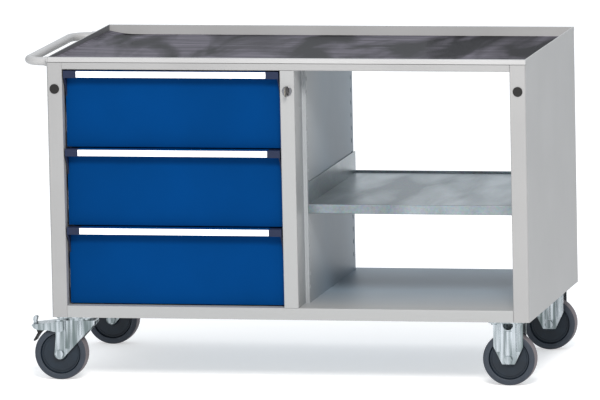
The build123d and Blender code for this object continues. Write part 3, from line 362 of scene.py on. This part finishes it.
mat_rubber, surface, place = new_finish("ribbed_black_rubber", {
    "IOR": 1.52, "Specular IOR Level": 0.06})
wiped = add_node(mat_rubber, "Mapping", {
    "Vector": place, "Scale": (1, 0.3, 1), "Rotation": (0, 0, radians(35))})
wiped = add_node(mat_rubber, "TexNoise", {
    "Vector": wiped, "Scale": per_metre(143), "Detail": 4, "Distortion": 0.8})
wiped = add_node(mat_rubber, "MapRange", {"Value": wiped, "From Min": 0.42, "From Max": 0.58})
lines = add_node(mat_rubber, "Mapping", {"Vector": place, "Scale": (0.5, 10, 1)})
lines = add_node(mat_rubber, "TexNoise", {"Vector": lines, "Scale": per_metre(100), "Detail": 5})
lines = add_node(mat_rubber, "MapRange", {
    "Value": lines, "From Min": 0.3, "From Max": 0.7, "To Min": 0.3})
dust = add_node(mat_rubber, "MixRGB", {
    "Fac": wiped, "Color1": srgb("#17161A"), "Color2": srgb("#6C6972")})
colour = add_node(mat_rubber, "MixRGB", {"Fac": lines, "Color1": srgb("#19181C"), "Color2": dust})
rough = add_node(mat_rubber, "MapRange", {"Value": wiped, "To Min": 0.5, "To Max": 0.65})
connect(mat_rubber, surface, {"Base Color": colour, "Roughness": rough})
finish_piece(mat, "ribbed_mat", [mat_rubber], "cabinet", "rubber_mat")


# ---- Wheels ------------------------------------------------------------------------
# Each wheel is a moulded blue-grey rim, with a hub, a recessed web and a thin ring, in
# a rubber tread. The tread's sides are slate grey and its running face is painted paler as
# the light that falls on it.
rim_plastic, surface, place = new_finish("blue_grey_moulded_polypropylene", {
    "Roughness": 0.45, "IOR": 1.49, "Specular IOR Level": 0.35})
flow = add_node(rim_plastic, "TexNoise", {"Vector": place, "Scale": per_metre(30.3), "Detail": 2})
flow = add_node(rim_plastic, "MapRange", {"Value": flow, "From Min": 0.35, "From Max": 0.65})
colour = add_node(rim_plastic, "MixRGB", {
    "Fac": flow, "Color1": srgb("#111A23"), "Color2": srgb("#15212C")})
connect(rim_plastic, surface, {"Base Color": colour})

side_rubber, surface, place = new_finish("slate_grey_moulded_rubber", {
    "Roughness": 0.5, "IOR": 1.52, "Specular IOR Level": 0.35})
flow = add_node(side_rubber, "TexNoise", {"Vector": place, "Scale": per_metre(20), "Detail": 2})
colour = add_node(side_rubber, "MixRGB", {
    "Fac": flow, "Color1": srgb("#262C35"), "Color2": srgb("#2E3640")})
connect(side_rubber, surface, {"Base Color": colour})

# Paler grey for the running face, painted as the light that falls on it.
running_face_painted_light, surface, place = new_finish("grey_rubber_painted_light", {
    "Roughness": 0.7, "IOR": 1.52, "Specular IOR Level": 0.3})
scuffs = add_node(running_face_painted_light, "TexNoise", {"Vector": place, "Scale": per_metre(5.56), "Detail": 4})
colour = add_node(running_face_painted_light, "MixRGB", {
    "Fac": scuffs, "Color1": srgb("#5C585B"), "Color2": srgb("#776F72")})
connect(running_face_painted_light, surface, {"Base Color": colour})


def turned(mesh, profile, centre):
    """Closed ring turned about an axle along Y. The profile's points are (radius, y) in mm."""
    corners = [mesh.verts.new(centre + Vector((radius, y, 0)) / 1000) for radius, y in profile]
    edges = [mesh.edges.new(pair) for pair in zip(corners, corners[1:] + corners[:1])]
    bmesh.ops.spin(mesh, geom=corners + edges, cent=centre, axis=(0, 1, 0), dvec=(0, 0, 0),
                   angle=2 * pi, steps=96, use_merge=True, use_duplicate=False)


# The side of the tread lies at face from the wheel's middle. The others are radii.
face = 19
bore = 6.2
hub = 15.0
ring = 41.6
seat = 47.5
crown = 62.5
run_start = crown - 1.8
rim_section = [
    (seat, face - 3.4), (seat - 0.7, face - 1.2), (seat - 1.3, face - 2.0), (seat - 2.1, face - 5.0),
    (ring + 0.8, face - 5.2), (ring + 0.4, face - 4.4),
    (ring - 0.4, face - 4.4), (ring - 0.8, face - 5.2),
    (hub + 9.0, face - 5.8), (hub + 2.2, face - 5.6), (hub + 0.4, face - 1.0), (hub, face + 1.6),
    (hub - 0.6, face + 2.0), (bore, face + 2.0),
]
tread_section = [
    (seat, face - 3.4), (seat + 0.8, face - 0.5), (seat + 1.7, face), (crown - 2.9, face - 0.3),
    (crown - 1.3, face - 1.2), (crown - 0.6, face - 2.8), (crown - 0.2, face - 6.0),
    (crown, face - 12.0),
]
for name in ("swivel_front", "swivel_rear", "fixed_front", "fixed_rear"):
    low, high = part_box(f"wheel_tread_{name}")
    centre = (low + high) / 2
    rim = bmesh.new()
    turned(rim, [(r, -y) for r, y in reversed(rim_section)] + rim_section, centre)
    finish_piece(rim, f"wheel_disc_{name}", [rim_plastic], f"wheel_{name}",
                 f"wheel_rim_{name}")
    tread = bmesh.new()
    turned(tread, [(r, -y) for r, y in tread_section] + tread_section[::-1], centre)
    # The running face takes the paler material, painted as the light falling on it.
    for side in tread.faces:
        spoke = (side.calc_center_median() - centre) * 1000
        side.material_index = int(Vector((spoke.x, spoke.z)).length > run_start)
    finish_piece(tread, f"wheel_tyre_{name}", [side_rubber, running_face_painted_light], f"wheel_{name}",
                 f"wheel_tread_{name}")


# ---- Studio ------------------------------------------------------------------------
# A pale floor of lit acrylic under a surround that is bright overhead and dim at the
# horizon. Bright panels stand far in front and behind, and a softbox high at the front right.
floor_reach = 60
overhead_glow = 1.3
horizon_glow = 0.15
panel_glow = 0.8
panel_edge = 0.7
softbox_place = Vector((1.05, -3.9, 3.34))
softbox_aim = Vector((0, 0, 0.4))

floor_mesh = bmesh.new()
bmesh.ops.create_grid(floor_mesh, x_segments=1, y_segments=1, size=floor_reach)
floor_data = bpy.data.meshes.new("studio_floor")
floor_mesh.to_mesh(floor_data)
floor_mesh.free()
floor_data.materials.append(new_finish("lit_white_acrylic", {
    "Base Color": srgb("#E0E0E0"), "Roughness": 0.9, "Specular IOR Level": 0.0,
    "Emission Color": srgb("#FFFFFF"), "Emission Strength": 0.45})[0])
floor = bpy.data.objects.new("studio_floor", floor_data)
bpy.context.scene.collection.objects.link(floor)

world = bpy.data.worlds.new("studio")
bpy.context.scene.world = world
world.use_nodes = True
direction = add_node(world, "TexCoord", {}).outputs["Generated"]
direction = add_node(world, "SeparateXYZ", {"Vector": direction})
glow = add_node(world, "MapRange", {
    "Value": direction.outputs["Z"], "To Min": horizon_glow, "To Max": overhead_glow})
panels = add_node(world, "Math", {0: direction.outputs["Y"]}, operation="ABSOLUTE")
panels = add_node(world, "MapRange", {"Value": panels, "From Min": panel_edge, "To Max": panel_glow})
glow = add_node(world, "Math", {0: glow, 1: panels}, operation="ADD")
connect(world, world.node_tree.nodes["Background"], {"Color": srgb("#F3F8FD"), "Strength": glow})

softbox_data = bpy.data.lights.new("front_right_softbox", "AREA")
softbox_data.shape = "RECTANGLE"
softbox_data.size = 1.6
softbox_data.size_y = 1.1
softbox_data.energy = 206
softbox_data.color = srgb("#FFFAF6")[:3]
softbox = bpy.data.objects.new("front_right_softbox", softbox_data)
softbox.location = softbox_place
softbox.rotation_euler = (softbox_aim - softbox_place).to_track_quat("-Z", "Y").to_euler()
bpy.context.scene.collection.objects.link(softbox)
